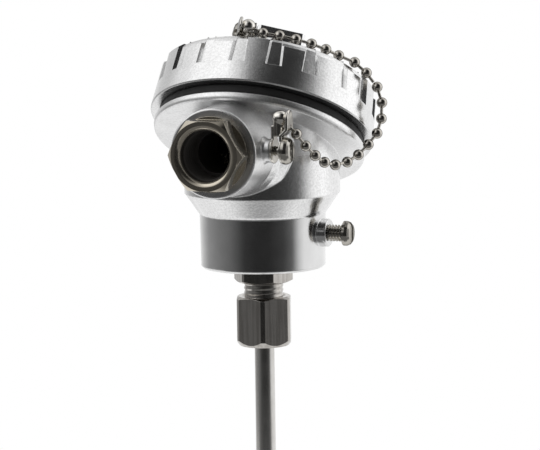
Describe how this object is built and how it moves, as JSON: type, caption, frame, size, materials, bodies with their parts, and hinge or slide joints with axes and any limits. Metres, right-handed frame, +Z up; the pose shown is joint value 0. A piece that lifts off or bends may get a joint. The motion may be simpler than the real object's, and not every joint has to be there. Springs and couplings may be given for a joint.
{
  "type": "resistance thermometer probe with connection head",
  "caption": "Resistance thermometer probe with a cast screw-top connection head, cable entry, ball chain and compression fitting.",
  "frame": {"origin": "on the probe axis, where the sheath leaves the compression nut", "axes": "+Z up along the probe axis, towards the head; -Y the way the cable entry looks; +X towards the earth screw"},
  "size_m": [0.0728, 0.0827, 0.2501],
  "materials": {
    "cast_aluminium": "fine blasted, clear coated",
    "lid_aluminium": "fine blasted, clear coated",
    "seal_rubber": "satin",
    "bush_nickel": "nickel plated, bright",
    "bright_screw": "bright plated",
    "chain_nickel": "bright plated",
    "turned_steel": "turned",
    "sheath_steel": "drawn and polished",
    "ferrule_brass": "turned",
    "sensor_ceramic": "matt",
    "block_ceramic": "satin",
    "potting_resin": "gloss",
    "wire_red": "satin",
    "wire_white": "satin",
    "terminal_brass": "nickel plated, bright"
  },
  "bodies": {
    "head": {"head_body": "cast_aluminium", "entry_bush": "bush_nickel", "earth_screw": "bright_screw", "fitting_nipple": "turned_steel", "probe_sheath": "sheath_steel", "sensing_element": "sensor_ceramic", "lead_insulator": "sensor_ceramic", "potting_seal": "potting_resin", "lead_wire_1": "wire_red", "lead_wire_2": "wire_red", "lead_wire_3": "wire_white", "lead_wire_4": "wire_white", "terminal_block": "block_ceramic", "terminal_plates": "terminal_brass", "terminal_screws": "terminal_brass", "block_screws": "bright_screw", "chain_hanging": "chain_nickel", "body_shackle": "chain_nickel", "body_chain_screw": "bright_screw"},
    "lid_carrier": {"seal_ring": "seal_rubber"},
    "screw_lid": {"lid": "lid_aluminium", "chain_on_lid": "chain_nickel", "lid_shackle": "chain_nickel", "lid_chain_screw": "bright_screw"},
    "nut_carrier": {"ferrule": "ferrule_brass"},
    "nut": {"compression_nut": "turned_steel"}
  },
  "joints": [
    {"name": "lid_lift", "type": "slide", "parent": "head", "child": "lid_carrier", "axis": [0, 0.5, 0.866], "range_m": [0, 0.008]},
    {"name": "lid_turn", "type": "hinge", "parent": "lid_carrier", "child": "screw_lid", "pos_m": [0, 0, 0.0657], "axis": [0, 0.5, 0.866], "range_deg": [0, 1440]},
    {"name": "nut_back_off", "type": "slide", "parent": "head", "child": "nut_carrier", "axis": [0, 0, -1], "range_m": [0, 0.006]},
    {"name": "nut_turn", "type": "hinge", "parent": "nut_carrier", "child": "nut", "pos_m": [0, 0, 0], "axis": [0, 0, -1], "range_deg": [0, 1440]}
  ],
  "couplings": [
    {"joint": "lid_turn", "follows": "lid_lift", "rad_per_m": 3141.6},
    {"joint": "nut_turn", "follows": "nut_back_off", "rad_per_m": 4188.8}
  ]
}
